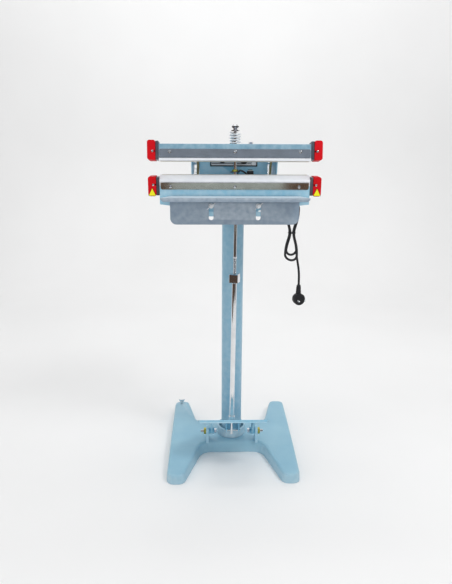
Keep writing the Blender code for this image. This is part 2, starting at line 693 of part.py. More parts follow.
def make_upper_jaw():
    """Drawn closed on the lower jaw."""
    low = UPPER_BAR_BOTTOM
    bar = [
        (JAW_FRONT - 1.2, low),
        (JAW_FRONT - 1.2, low + 5.6),
        (JAW_FRONT + SHEET + GAP, low + 7),
        (JAW_FRONT + SHEET + GAP, low + 22),
        (JAW_BACK - SHEET - GAP, low + 22),
        (JAW_BACK - SHEET - GAP, low + 7),
        (JAW_BACK, low + 5.6),
        (JAW_BACK, low),
    ]
    solid("upper_sealing_bar", prism("X", -BAR_HALF_LENGTH, BAR_HALF_LENGTH, bar), "aluminium", "upper_jaw")
    hem, top = low + 7.3, UPPER_COVER_TOP
    channel = [
        (JAW_FRONT, hem),
        (JAW_FRONT, top - 1),
        (JAW_FRONT + 1, top),
        (JAW_BACK - 1, top),
        (JAW_BACK, top - 1),
        (JAW_BACK, hem),
        (JAW_BACK - SHEET, hem),
        (JAW_BACK - SHEET, top - SHEET),
        (JAW_FRONT + SHEET, top - SHEET),
        (JAW_FRONT + SHEET, hem),
    ]
    solid("upper_jaw_cover", prism("X", -BAR_HALF_LENGTH, BAR_HALF_LENGTH, channel), "blue_enamel", "upper_jaw")
    strip = rectangle(-200.5, 200.5, 885.0, 908.0, 3)
    solid("upper_clamp_strip", prism("Y", JAW_FRONT - 1.5, JAW_FRONT - GAP, strip), "polished_steel", "upper_jaw")


def make_upper_frame():
    """Two arms joined by a crossbar that the spring spindle passes through; drawn closed."""
    y, z = JAW_PIVOT[1:]
    back = JAW_BACK + GAP + 1
    under = [(back, 918, 3), (back, 886, 3), (-34, 846, 10), (50, 846, 30), (y + 16, z - 18, 14)]
    outline = rounded([*under, (y + 40, 888, 5), (y + 40, 902, 5), (y + 16, z + 18, 14), (50, 921, 30)])
    cross_y, cross_z = CROSSBAR_AT
    slab = box((-ARM_OUTER_X + 1.5, ARM_OUTER_X - 1.5), (cross_y - 13, cross_y + 13), (cross_z - 4, cross_z + 4))
    spin = Matrix.Rotation(math.radians(JAW_OPEN_ANGLE / 2), 4, "X")
    centre = Matrix.Translation((0, cross_y, cross_z))
    slab.transform(centre @ spin @ centre.inverted())
    frame = solid("upper_frame", slab, "blue_enamel", "upper_jaw")
    lumps = []
    for side in (-1, 1):
        lumps.append(prism("X", *sorted((side * (ARM_OUTER_X - 3), side * ARM_OUTER_X)), outline))
        lumps.append(box(sorted((side * ARM_INNER_X, side * (ARM_OUTER_X - 1.5))), (back, 60.0), (915.0, 917.5)))
    add(frame, *lumps)
    opening = rectangle(SPINDLE_X - 7, SPINDLE_X + 7, cross_y - 10, cross_y + 10, 5)
    cut(
        frame,
        prism("Z", 880, 915, opening),
        turned([(6.3, -150.0), (6.3, 150.0)], (0, y, z), "X", 16),
        turned([(3.4, 880.0), (3.4, 915.0)], (SWITCH_SCREW_X, cross_y, 0), sides=12),
    )
    bolt = turned([(3.0, 889.6), (3.0, 929.0)], (SWITCH_SCREW_X, cross_y, 0), sides=12)
    screw = solid("switch_screw", bolt, "chrome", "switch_screw")
    add(screw, turned([(6.0, 927.0), (6.0, 933.0)], (SWITCH_SCREW_X, cross_y, 0), sides=6))


def make_housing():
    """The box behind the jaws with the transformer and timer in it."""
    half, front, back, top = HOUSING_HALF_WIDTH, HOUSING_FRONT, HOUSING_BACK, HOUSING_TOP
    low = FRAME_TOP + GAP
    outline = rounded([(-half, low, 4), (half, low, 4), (half, top, 6), (-half, top, 6)])
    shell = solid("head_housing", prism("Y", front, back, outline), "blue_enamel")
    room = box((-half + SHEET, half - SHEET), (front + SHEET, back + 9), (low + SHEET, top - SHEET))
    cuts = [room, turned([(5.2, 80.0), (5.2, 110.0)], (0, GLAND_Y, GLAND_Z), "X", 16)]
    for side in (-1, 1):
        cuts.append(turned([(4.5, side * 90.0), (4.5, side * 100.0)], (0, 35, 836), "X", 12))
    x, z = KNOB_AT
    cuts.append(turned([(4.0, front - 9), (4.0, front + 9)], (x, 0, z), "Y", 12))
    x, z = ROCKER_AT
    cuts.append(box((x - 7, x + 7), (front - 9, front + 9), (z - 10, z + 10)))
    cut(shell, *cuts)
    cover = rectangle(-half + 1, half - 1, low + 1, top - 1, 4)
    solid("housing_rear_cover", prism("Y", back + GAP, back + 2, cover), "blue_enamel")
    panel = rectangle(-66.5, 66.5, PANEL_BOTTOM, PANEL_TOP, 3)
    plate = solid("control_panel", prism("Y", front - 1.8, front - GAP, panel), "grey_panel")
    x, z = ROCKER_AT
    window = box((x - 6.6, x + 6.6), (front - 9, front + 9), (z - 9.6, z + 9.6))
    cut(plate, turned([(4.0, front - 9), (4.0, front + 9)], (KNOB_AT[0], 0, KNOB_AT[1]), "Y", 12), window)


def make_controls():
    front = HOUSING_FRONT - 1.8 - GAP
    x, z = KNOB_AT
    profile = [(3.2, front + 12), (3.2, front), (11.0, front), (10.0, front - 11), (9.0, front - 12)]
    solid("timer_knob", turned(profile, (x, 0, z), "Y", 24), "black_plastic", "knob")
    x, z = ROCKER_AT
    rocker = [(front + 9, z - 7), (front + 9, z + 7), (front + 2, z + 8.6), (front - 3.5, z + 7.6)]
    rocker += [(front - 0.8, z), (front - 2.2, z - 7.6), (front + 2, z - 8.6)]
    solid("power_rocker", prism("X", x - 5.8, x + 5.8, rocker), "black_plastic", "rocker")


def make_transformer():
    low = FRAME_TOP + GAP + SHEET + GAP
    middle = -36.0
    core = solid("transformer_core", box((middle - 42, middle + 42), (44, 80), (low, low + 70), 1.0), "dark_steel")
    for side in (-1, 1):
        window = sorted((middle + side * 14, middle + side * 28))
        cut(core, box(window, (30, 95), (low + 14, low + 56)))
    coil = box((middle - 27.7, middle + 27.7), (34, 90), (low + 14 + GAP, low + 56 - GAP), 1.0)
    winding = solid("transformer_winding", coil, "copper_winding")
    cut(winding, box((middle - 14.3, middle + 14.3), (44 - GAP, 80 + GAP), (low, low + 70)))
    board = rectangle(10.0, 88.0, 850.0, 926.0, 2)
    solid("timer_board", prism("Y", 24.0, 25.6, board), "circuit_board")


def make_switch():
    block = box(SWITCH_X, SWITCH_Y, SWITCH_Z, 0.8)
    solid("switch_body", block, "black_plastic")
    y, z = BODIES["switch_lever"][1:]
    blade = [(y - 1, z - 0.6), (y + 17, z + 0.6), (y + 17, z + 1.6), (y - 1, z + 0.4)]
    solid("switch_lever", prism("X", SWITCH_X[0] + 3, SWITCH_X[1] - 3, blade), "chrome", "switch_lever")


def make_tray():
    """A hanging plate with two slots, a shelf that widens forwards and a rolled front edge."""
    face, back = TRAY_FACE, TRAY_FACE + TRAY_SHEET
    top, thick = TRAY_TOP, TRAY_SHEET
    half, lip = TRAY_HALF_WIDTH, LIP_HALF_WIDTH
    panel = rounded([(-half, TRAY_BOTTOM, 17), (half, TRAY_BOTTOM, 17), (half, top, 0), (-half, top, 0)], 6)
    tray = solid("tray", prism("Y", face, back, panel), "tray_enamel", "tray")
    shelf = [(-half, back - 0.2), (half, back - 0.2), (lip - 1, TRAY_FRONT + 0.2), (-lip + 1, TRAY_FRONT + 0.2)]
    drop = [(-lip, top, 0), (-lip, top - 4, 2), (-lip + 6, top - 10, 3)]
    edge = rounded([*drop, (lip - 6, top - 10, 3), (lip, top - 4, 2), (lip, top, 0)])
    add(tray, prism("Z", top - thick, top, shelf), prism("Y", TRAY_FRONT, TRAY_FRONT + thick, edge))
    for x in (-SLOT_X, SLOT_X):
        slot = rectangle(x - SLOT_HALF_WIDTH, x + SLOT_HALF_WIDTH, 758.0, 806.0, SLOT_HALF_WIDTH - 0.1, 6)
        cut(tray, prism("Y", face - 9, back + 5, slot))
    for side, label in ((-1, "left"), (1, "right")):
        x = side * SLOT_X
        shank = turned([(3.0, -80.0), (3.0, -103.0)], (x, 0, WING_SCREW_Z), "Y", 12)
        head = turned([(8.0, face - GAP), (8.0, face - 2.0), (5.5, face - 7)], (x, 0, WING_SCREW_Z), "Y", 16)
        blade = rounded([(-14, -1, 0), (-13, -5, 2), (13, -1, 2), (14, 5, 2), (0, 4, 4)])
        wings = prism("Y", face - 10, face - 5, blade)
        wings.transform(Matrix.Translation((x, 0, WING_SCREW_Z)) @ Matrix.Rotation(math.radians(-30), 4, "Y"))
        add(solid(f"wing_screw_{label}", shank, "chrome", f"wing_{label}"), head, wings)


def make_wiring():
    """The leads to the upper jaw and the two springs that lift it."""
    for side, label in ((-1, "left"), (1, "right")):
        route = [(99.8, 36, 836), (100, 24, 838), (101, 6, 850), (101, -15, 876), (100, -33, 898), (100, -50.5, 912)]
        points = smooth_route([(side * x, y, z) for x, y, z in route], 12.0)
        tube(f"heating_lead_{label}", points, 6.0, "lead_sleeve")
        coil = helix((side * 110.0, 168.5), 5.5, 1.6, FRAME_TOP + 2, 878.5, 9.5, 10, 5)
        solid(f"return_spring_{label}", coil, "chrome")


def make_cord():
    """The gland, the lead down to the tied hank, the hank, and the tail with the plug."""
    start = HOUSING_HALF_WIDTH + GAP
    gland = [(4.8, start - 6), (4.8, start - GAP), (9.0, start), (9.0, start + 5), (6.5, start + 7), (4.4, GLAND_END_X)]
    solid("cable_gland", turned(gland, (0, GLAND_Y, GLAND_Z), "X", 20), "black_plastic")
    lead = [
        (GLAND_END_X + GAP, GLAND_Y, GLAND_Z),
        (146, GLAND_Y, GLAND_Z - 1),
        (164, GLAND_Y, GLAND_Z - 9),
        (176, GLAND_Y, GLAND_Z - 23),
        (HANK_X, GLAND_Y, HANK_TOP + GAP),
    ]
    tube("cord_lead", smooth_route(lead, 15.0), CORD_DIAMETER, "black_cord")
    radius = HANK_HALF_WIDTH - 0.5
    outline = rectangle(HANK_X - HANK_HALF_WIDTH, HANK_X + HANK_HALF_WIDTH, HANK_BOTTOM, HANK_TOP, radius, 6)
    hank = prism("Y", GLAND_Y - HANK_HALF_DEPTH, GLAND_Y + HANK_HALF_DEPTH, outline)
    solid("cord_hank", hank, "black_cord")
    x, y, z = PLUG_AT
    tail = [
        (HANK_X + 12, GLAND_Y, HANK_BOTTOM + 2.5),
        (HANK_X + 20, GLAND_Y, HANK_BOTTOM - 18),
        (x - 1, y, z + 76),
        (x, y, z + PLUG_NECK + GAP),
    ]
    tube("cord_tail", smooth_route(tail, 14.0), CORD_DIAMETER, "black_cord")
    make_plug()


def make_plug():
    """An angled two-pin plug with a round face, which hangs from its cable entry."""
    body = turned([(15.0, 12.0), (PLUG_RADIUS, 4.0), (PLUG_RADIUS, -12.0), (17.5, -13.0)], (0, 0, 0), "Y", 28)
    neck = [(9.5, 5.0), (8.6, 18.0), (8.0, 40.0), (4.6, PLUG_NECK)]
    pin = [(2.4, -10.0), (2.4, -30.0), (1.4, -32.0)]
    lumps = [turned(neck, (0, 0, 0), "Z", 16)]
    lumps += [turned(pin, (side * 9.5, 0, 0), "Y", 10) for side in (-1, 1)]
    placing = Matrix.Translation(PLUG_AT) @ Matrix.Rotation(math.radians(PLUG_TURN), 4, "Z")
    for mesh in (body, *lumps):
        mesh.transform(placing)
    add(solid("mains_plug", body, "black_plastic"), *lumps)


def main():
    clear_scene()
    make_finishes()
    make_bodies()
    make_base()
    make_column()
    for side, label in ((-1, "left"), (1, "right")):
        make_pedal_mount(side, label)
    make_levelling_screw()
    make_pedal()
    make_pull_rod()
    make_coupling_block()
    make_pressure_spring()
    make_head_frame()
    make_lower_jaw()
    make_end_pieces("lower", "root", (824.0, 872.0), (822.0, 874.0), 852.5)
    make_upper_jaw()
    make_end_pieces("upper", "upper_jaw", (881.0, 929.0), (879.6, 931.0), 902.0)
    make_upper_frame()
    make_housing()
    make_controls()
    make_transformer()
    make_switch()
    make_tray()
    make_wiring()
    make_cord()
    bpy.context.view_layer.update()


main()
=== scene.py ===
import json
import math

import bmesh
import bpy
from mathutils import Matrix, Vector


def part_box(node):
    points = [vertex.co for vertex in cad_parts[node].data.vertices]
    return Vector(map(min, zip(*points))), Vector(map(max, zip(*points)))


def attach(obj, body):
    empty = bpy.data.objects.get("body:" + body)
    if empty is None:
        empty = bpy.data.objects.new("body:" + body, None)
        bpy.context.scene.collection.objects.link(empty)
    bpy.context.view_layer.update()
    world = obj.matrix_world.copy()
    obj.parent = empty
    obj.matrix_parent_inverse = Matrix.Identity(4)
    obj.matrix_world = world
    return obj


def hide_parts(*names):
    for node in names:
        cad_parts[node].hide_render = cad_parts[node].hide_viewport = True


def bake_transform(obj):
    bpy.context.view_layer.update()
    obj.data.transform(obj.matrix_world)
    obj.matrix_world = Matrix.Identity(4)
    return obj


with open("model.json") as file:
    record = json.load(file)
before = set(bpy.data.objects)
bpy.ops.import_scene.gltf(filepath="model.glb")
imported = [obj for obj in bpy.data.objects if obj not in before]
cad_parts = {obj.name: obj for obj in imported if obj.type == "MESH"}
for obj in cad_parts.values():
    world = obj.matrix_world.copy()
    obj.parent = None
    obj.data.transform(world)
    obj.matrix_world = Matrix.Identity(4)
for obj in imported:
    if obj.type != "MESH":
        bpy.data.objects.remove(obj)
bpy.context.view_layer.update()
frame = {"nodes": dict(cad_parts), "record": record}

# Pieces of the machine are drawn in millimetres, from the drawing's own zero under the machine's head.
# ORIGIN_SHIFT moves them to the frame's origin, midway between the tips of the base's legs.
# The camera, the stage and the lights are in metres, in the frame itself.
MM = 0.001
ORIGIN_SHIFT = Vector((0.0, -18.0, 0.0))
NODES = frame["nodes"]

JAW_PIVOT = Vector((0.0, 130.0, 895.0))
JAW_OPEN_ANGLE = 9.8
JAW_FRONT = -91.0
STRIP_FACE = JAW_FRONT - 1.5
ROD_PIN = Vector((0.0, -80.0, 105.0))
ROD_LEAN = 3.2
SPINDLE_X = 2.0
STRIP_SCREWS_X = (-173.0, 0.0, 173.0)
COVER_SCREW_X = 218.7
TRIANGLE_X = 221.6
TRAY_SLOT_X = 64.0
TRAY_SCREW_Z = 797.0
CORD_DIAMETER = 7.0
SIDES = ((-1, "left"), (1, "right"))


def metres(point):
    """A point of the drawing as a point of the frame, in metres."""
    return (Vector(point) + ORIGIN_SHIFT) * MM


def corners(node):
    """The lowest and highest corner of a CAD node, in the drawing's millimetres."""
    low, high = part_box(node)
    return low / MM - ORIGIN_SHIFT, high / MM - ORIGIN_SHIFT


# ---------------------------------------------------------------- shapes


def object_from(name, mesh_or_bmesh, smooth_angle=35):
    """A piece from a bmesh drawn in millimetres, smooth but for its sharp edges."""
    mesh = bpy.data.meshes.new(name)
    bmesh.ops.recalc_face_normals(mesh_or_bmesh, faces=mesh_or_bmesh.faces)
    mesh_or_bmesh.to_mesh(mesh)
    mesh_or_bmesh.free()
    mesh.transform(Matrix.Scale(MM, 4) @ Matrix.Translation(ORIGIN_SHIFT))
    mesh.shade_smooth()
    mesh.set_sharp_from_angle(angle=math.radians(smooth_angle))
    piece = bpy.data.objects.new(name, mesh)
    bpy.context.scene.collection.objects.link(piece)
    return piece


def turned(profile, placing=Matrix.Identity(4), sides=48):
    """A lathe shape about local Z, from (radius, height) pairs; both ends are closed."""
    shape = bmesh.new()
    rings = []
    for radius, height in profile:
        turn = [math.tau * step / sides for step in range(sides)]
        ring = [Vector((radius * math.cos(a), radius * math.sin(a), height)) for a in turn]
        rings.append([shape.verts.new(placing @ point) for point in ring])
    for low, high in zip(rings, rings[1:]):
        for step in range(sides):
            following = (step + 1) % sides
            shape.faces.new((low[step], low[following], high[following], high[step]))
    shape.faces.new(rings[0][::-1])
    shape.faces.new(rings[-1])
    return shape


def block(low, high, bevel=0.0):
    """A box between two corners, with rounded edges."""
    shape = bmesh.new()
    low, high = Vector(low), Vector(high)
    size = Matrix.Diagonal((*(high - low), 1.0))
    bmesh.ops.create_cube(shape, size=1.0, matrix=Matrix.Translation((low + high) / 2) @ size)
    if bevel:
        bmesh.ops.bevel(shape, geom=shape.edges[:], offset=bevel, segments=3, affect="EDGES")
    return shape


def extruded(outline, low_y, high_y):
    """An outline in X and Z, extruded along Y."""
    shape = bmesh.new()
    front = [shape.verts.new((x, low_y, z)) for x, z in outline]
    back = [shape.verts.new((x, high_y, z)) for x, z in outline]
    shape.faces.new(front)
    shape.faces.new(back[::-1])
    for step in range(len(outline)):
        following = (step + 1) % len(outline)
        shape.faces.new((front[step], back[step], back[following], front[following]))
    return shape


def merged(*shapes):
    """Several shapes as one bmesh."""
    whole = bmesh.new()
    for shape in shapes:
        scrap = bpy.data.meshes.new("scrap")
        shape.to_mesh(scrap)
        shape.free()
        whole.from_mesh(scrap)
        bpy.data.meshes.remove(scrap)
    return whole


def along(start, end):
    """Places local Z along the line from start to end, with its zero at start."""
    start, end = Vector(start), Vector(end)
    return Matrix.Translation(start) @ (end - start).to_track_quat("Z", "Y").to_matrix().to_4x4()


def swept(name, points, diameter, bevel_resolution=5):
    """A round wire or cord along points in millimetres, as one open curve."""
    curve = bpy.data.curves.new(name, "CURVE")
    curve.dimensions = "3D"
    curve.bevel_depth = diameter / 2 * MM
    curve.bevel_resolution = bevel_resolution
    curve.use_fill_caps = True
    line = curve.splines.new("POLY")
    line.points.add(len(points) - 1)
    for point, place in zip(line.points, points):
        point.co = (*metres(place), 1.0)
    line.use_smooth = True
    piece = bpy.data.objects.new(name, curve)
    bpy.context.scene.collection.objects.link(piece)
    return piece


def as_mesh(curve_piece):
    """The same piece as a mesh, for a piece that spans two bodies."""
    graph = bpy.context.evaluated_depsgraph_get()
    mesh = bpy.data.meshes.new_from_object(curve_piece.evaluated_get(graph))
    name = curve_piece.name
    bpy.data.objects.remove(curve_piece)
    piece = bpy.data.objects.new(name, mesh)
    piece.name = name
    bpy.context.scene.collection.objects.link(piece)
    return piece


def smooth_route(points, spacing):
    """Points about a spacing apart on a Catmull-Rom curve through the given ones."""
    points = [Vector(point) for point in points]
    points = [2 * points[0] - points[1], *points, 2 * points[-1] - points[-2]]
    route = []
    for a, b, c, d in zip(points, points[1:], points[2:], points[3:]):
        steps = max(2, round((c - b).length / spacing))
        for step in range(steps):
            t = step / steps
            curve = 2 * b + (c - a) * t
            curve += (2 * a - 5 * b + 4 * c - d) * t**2 + (3 * b - a - 3 * c + d) * t**3
            route.append(curve / 2)
    return [*route, points[-2]]


def coil(centre, radius, low, high, turns, steps_per_turn=32):
    """Points of a coil spring about a vertical axis, at an even pitch."""
    x, y = centre
    steps = round(turns * steps_per_turn)
    points = []
    for step in range(steps + 1):
        angle = math.tau * step / steps_per_turn
        rise = low + (high - low) * step / steps
        points.append(Vector((x + radius * math.cos(angle), y + radius * math.sin(angle), rise)))
    return points


JAW_TILT = (
    Matrix.Translation(JAW_PIVOT)
    @ Matrix.Rotation(math.radians(-JAW_OPEN_ANGLE), 4, "X")
    @ Matrix.Translation(-JAW_PIVOT)
)
ROD_TILT = (
    Matrix.Translation(ROD_PIN)
    @ Matrix.Rotation(math.radians(-ROD_LEAN), 4, "X")
    @ Matrix.Translation(-ROD_PIN)
)


def fitted(piece, body, slot, finish, *nodes):
    """Gives a piece its finish and body, and hides the CAD nodes that it stands for.

    A piece that bends between two bodies has no body of its own. The slot argument is not used.
    """
    piece.data.materials.clear()
    piece.data.materials.append(finish)
    if body:
        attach(piece, body)
    if nodes:
        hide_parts(*nodes)
    return piece


# ---------------------------------------------------------------- materials


def linear(hex_colour):
    """An sRGB hex colour as linear RGBA."""
    values = [int(hex_colour[i : i + 2], 16) / 255 for i in (0, 2, 4)]
    return (*[v / 12.92 if v <= 0.04045 else ((v + 0.055) / 1.055) ** 2.4 for v in values], 1.0)


def add(tree, kind, settings=None, links=None):
    """Adds a node, sets its properties and inputs, and links its inputs."""
    node = tree.nodes.new(kind)
    for key, value in (settings or {}).items():
        if isinstance(key, str) and hasattr(node, key):
            setattr(node, key, value)
        else:
            node.inputs[key].default_value = value
    for key, socket in (links or {}).items():
        tree.links.new(socket, node.inputs[key])
    return node


def new_finish(name, **sockets):
    """A named material, its node tree and its shader with constant values set on its own sockets."""
    finish = bpy.data.materials.new(name)
    finish.use_nodes = True
    shader = finish.node_tree.nodes["Principled BSDF"]
    for key, value in sockets.items():
        shader.inputs[key.replace("_", " ")].default_value = value
    return finish, finish.node_tree, shader


def noise_of(tree, size_mm, detail=3.0, stretch=(1.0, 1.0, 1.0)):
    """Noise whose features are about size_mm across, in object space."""
    place = add(tree, "ShaderNodeTexCoord")
    mapping = add(tree, "ShaderNodeMapping", {"Scale": stretch}, {"Vector": place.outputs["Object"]})
    scale = 1.0 / (size_mm * MM)
    return add(
        tree,
        "ShaderNodeTexNoise",
        {"Scale": scale, "Detail": detail},
        {"Vector": mapping.outputs["Vector"]},
    )


def colour_between(tree, factor, low_hex, high_hex, start=0.3, stop=0.7):
    """Colour that runs from one tone to another as the factor rises."""
    ramp = add(tree, "ShaderNodeValToRGB", None, {"Fac": factor})
    ramp.color_ramp.elements[0].position = start
    ramp.color_ramp.elements[1].position = stop
    ramp.color_ramp.elements[0].color = linear(low_hex)
    ramp.color_ramp.elements[1].color = linear(high_hex)
    return ramp.outputs["Color"]


def value_between(tree, factor, low, high):
    """A roughness that runs between two values as the factor rises."""
    spread = {"To Min": low, "To Max": high}
    return add(tree, "ShaderNodeMapRange", spread, {"Value": factor}).outputs["Result"]


def raised(tree, shader, height, depth_mm, edge_mm=0.0):
    """Surface relief of a depth in millimetres, over edges softened by a small radius."""
    links = {"Height": height}
    if edge_mm:
        soft = add(tree, "ShaderNodeBevel", {"samples": 4, "Radius": edge_mm * MM})
        links["Normal"] = soft.outputs["Normal"]
    bump = add(tree, "ShaderNodeBump", {"Distance": depth_mm * MM, "Strength": 0.6}, links)
    tree.links.new(bump.outputs["Normal"], shader.inputs["Normal"])


def stoved_enamel(name, dark, light, pale_edge_tone, peel_mm=2.4, peel_depth=0.05, roughness=0.32, edge_mm=1.0):
    """Stoved enamel on steel: a gloss coat with orange peel, slightly uneven in tone, paler in patches at its
    sharp edges, partly abraded paint and partly a painted edge highlight.
    """
    finish, tree, shader = new_finish(
        name, IOR=1.5, Specular_IOR_Level=0.32, Coat_Weight=0.1, Coat_Roughness=0.12
    )
    drift = noise_of(tree, 90.0, 4.0)
    tone = colour_between(tree, drift.outputs["Fac"], dark, light)
    # Sharp convex edges, in patches, take a pale tone: partly abraded paint, partly a painted edge highlight.
    geometry = add(tree, "ShaderNodeNewGeometry")
    pale_edge_mask = add(tree, "ShaderNodeValToRGB", None, {"Fac": geometry.outputs["Pointiness"]})
    pale_edge_mask.color_ramp.elements[0].position = 0.53
    pale_edge_mask.color_ramp.elements[1].position = 0.62
    patches = noise_of(tree, 14.0, 5.0)
    pale_edge_patches = add(tree, "ShaderNodeMath", {"operation": "MULTIPLY"}, {0: pale_edge_mask.outputs["Color"]})
    tree.links.new(patches.outputs["Fac"], pale_edge_patches.inputs[1])
    mix = add(tree, "ShaderNodeMix", {"data_type": "RGBA"}, {0: pale_edge_patches.outputs["Value"]})
    tree.links.new(tone, mix.inputs[6])
    mix.inputs[7].default_value = linear(pale_edge_tone)
    tree.links.new(mix.outputs[2], shader.inputs["Base Color"])
    gloss = value_between(tree, drift.outputs["Fac"], roughness - 0.05, roughness + 0.07)
    tree.links.new(gloss, shader.inputs["Roughness"])
    peel = noise_of(tree, peel_mm, 2.0)
    raised(tree, shader, peel.outputs["Fac"], peel_depth, edge_mm)
    return finish


def moulded_plastic(
    name, dark, light, roughness=0.4, grain_mm=0.9, depth=0.04, edge_mm=0.5, specular=0.3
):
    """Moulded ABS, and other plain plastics, films and inks: one deep colour with a fine grain."""
    finish, tree, shader = new_finish(name, IOR=1.53, Specular_IOR_Level=specular)
    drift = noise_of(tree, 30.0, 3.0)
    tone = colour_between(tree, drift.outputs["Fac"], dark, light)
    tree.links.new(tone, shader.inputs["Base Color"])
    gloss = value_between(tree, drift.outputs["Fac"], roughness - 0.06, roughness + 0.06)
    tree.links.new(gloss, shader.inputs["Roughness"])
    grain = noise_of(tree, grain_mm, 2.0)
    raised(tree, shader, grain.outputs["Fac"], depth, edge_mm)
    return finish


def bare_metal(
    name, dark, light, roughness, spread=0.1, line_mm=0.8, stretch=(0.02, 1, 1), depth=0.02, metallic=1.0
):
    """Bare or plated metal: fine lines along the way it was drawn or polished, with uneven gloss."""
    finish, tree, shader = new_finish(name, Metallic=metallic)
    lines = noise_of(tree, line_mm, 3.0, stretch)
    clouds = noise_of(tree, 40.0, 3.0)
    tone = colour_between(tree, clouds.outputs["Fac"], dark, light)
    tree.links.new(tone, shader.inputs["Base Color"])
    gloss = value_between(tree, lines.outputs["Fac"], max(0.03, roughness - spread), roughness + spread)
    tree.links.new(gloss, shader.inputs["Roughness"])
    raised(tree, shader, lines.outputs["Fac"], depth, 0.25)
    return finish


def woven_cloth(name, dark, light, thread_mm, roughness=0.6):
    """Coated woven cloth or braided sleeve: a small plain weave under a dull film."""
    finish, tree, shader = new_finish(name, IOR=1.4, Roughness=roughness)
    place = add(tree, "ShaderNodeTexCoord")
    size = 1.0 / (thread_mm * MM) / math.tau * 2
    threads = [
        add(
            tree,
            "ShaderNodeTexWave",
            {"wave_type": "BANDS", "bands_direction": way, "Scale": size},
            {"Vector": place.outputs["Object"]},
        )
        for way in ("X", "Z")
    ]
    weave = add(tree, "ShaderNodeMath", {"operation": "MULTIPLY"})
    for index, thread in enumerate(threads):
        tree.links.new(thread.outputs["Fac"], weave.inputs[index])
    tone = colour_between(tree, weave.outputs["Value"], dark, light, 0.05, 0.8)
    tree.links.new(tone, shader.inputs["Base Color"])
    raised(tree, shader, weave.outputs["Value"], 0.1)
    return finish


def wound_copper():
    """Enamelled copper wire wound side by side, 0.8 mm thick."""
    finish, tree, shader = new_finish("enamelled_copper_wire", Metallic=0.8, Roughness=0.3)
    place = add(tree, "ShaderNodeTexCoord")
    turns = add(
        tree,
        "ShaderNodeTexWave",
        {"wave_type": "BANDS", "bands_direction": "Z", "Scale": 1.0 / (0.8 * MM) / math.tau * 2},
        {"Vector": place.outputs["Object"]},
    )
    tone = colour_between(tree, turns.outputs["Fac"], "6A3418", "B8703A")
    tree.links.new(tone, shader.inputs["Base Color"])
    raised(tree, shader, turns.outputs["Fac"], 0.3)
    return finish


def printed_stripes(name, dark, light, pitch_mm):
    """A printed label of plain stripes under a satin film."""
    finish, tree, shader = new_finish(name, IOR=1.45)
    place = add(tree, "ShaderNodeTexCoord")
    bands = add(
        tree,
        "ShaderNodeTexWave",
        {"wave_type": "BANDS", "bands_direction": "Z", "Scale": 1.0 / (pitch_mm * MM) / math.tau * 2},
        {"Vector": place.outputs["Object"]},
    )
    tone = colour_between(tree, bands.outputs["Fac"], dark, light, 0.45, 0.55)
    tree.links.new(tone, shader.inputs["Base Color"])
    film = noise_of(tree, 3.0, 2.0)
    gloss = value_between(tree, film.outputs["Fac"], 0.3, 0.45)
    tree.links.new(gloss, shader.inputs["Roughness"])
    return finish


FINISHES = {
    "blue_enamel": stoved_enamel("stoved_enamel_jaw_blue", "6CB0CE", "7ABAD6", "C6DCE6"),
    "base_enamel": stoved_enamel(
        "stoved_enamel_on_casting", "86B4CA", "94BED0", "CCDCE4", 4.5, 0.16, 0.36, 2.5
    ),
    # A darker copy of the jaw enamel for the upper cover: painted shade, since the cover's front takes little
    # light.
    "upper_enamel_painted_shade": stoved_enamel("stoved_enamel_upper_cover_painted_shade", "447F9C", "508CA8", "A8C4D2", roughness=0.42),
    "column_enamel": stoved_enamel("stoved_enamel_column", "6CA2BE", "7AAEC8", "BCD2DC"),
    "tray_enamel": stoved_enamel("satin_enamel_tray", "6C8094", "788CA0", "C6D0D8", roughness=0.46),
    "red_cover": moulded_plastic("moulded_red_abs", "C4000E", "D60418", 0.5, specular=0.14),
    "black_plastic": moulded_plastic("moulded_black_abs", "18181A", "242428", 0.45),
    "black_cord": moulded_plastic("extruded_pvc_cord", "19191C", "28282C", 0.5, 1.4, 0.05, 0.0),
    "polished_steel": bare_metal("rolled_steel_strip", "B8B8B6", "CACAC8", 0.09, 0.05),
    # Near-white, weakly metallic aluminium: its own pale tone, brightened by a painted reflection of a bright
    # ceiling.
    "aluminium": bare_metal(
        "anodised_aluminium_painted_reflection", "E6EAF0", "F4F6FA", 0.42, 0.1, 1.2, metallic=0.25
    ),
    "chrome": bare_metal("chrome_plate", "DCDEE0", "F0F2F4", 0.07, 0.03, 3.0, (1, 1, 1), 0.01),
    "bright_zinc": bare_metal("bright_zinc_plate", "DCDEE2", "F2F4F6", 0.3, 0.06, 1.5, metallic=0.4),
    "yellow_zinc": bare_metal("yellow_zinc_plate", "A8A040", "D2C86A", 0.32, 0.08, 2.5, (1, 1, 1)),
    "dark_steel": bare_metal("oxide_blackened_steel", "5A5E66", "787C84", 0.42, 0.1, 2.0, (1, 1, 1)),
    "copper_winding": wound_copper(),
    "circuit_board": woven_cloth("glass_epoxy_laminate", "1E4A30", "2E6A44", 1.2, 0.35),
    "sealing_cloth": woven_cloth("coated_glass_cloth", "C8C4B8", "DCD8CC", 1.0, 0.45),
    "lead_sleeve": woven_cloth("braided_lead_sleeve", "6E6A48", "9A946C", 1.4, 0.7),
    "grey_panel": printed_stripes("printed_control_panel", "9AA2A8", "C0C6CA", 9.0),
}


def finish_cad_nodes():
    """Every CAD node that stays takes the finish of its material slot."""
    slots = {part["node"]: part["material_slot"] for part in frame["record"]["subparts"]}
    # The casting keeps its own enamel; the upper cover takes the darker copy of the jaw enamel, which is
    # painted shade.
    own = {"base_casting": "base_enamel", "column_socket": "base_enamel", "upper_jaw_cover": "upper_enamel_painted_shade"}
    for name, node in NODES.items():
        finish = FINISHES[own.get(name, slots[name])]
        if not node.material_slots:
            node.data.materials.append(finish)
        for place in node.material_slots:
            place.material = finish


# ---------------------------------------------------------------- camera and cord


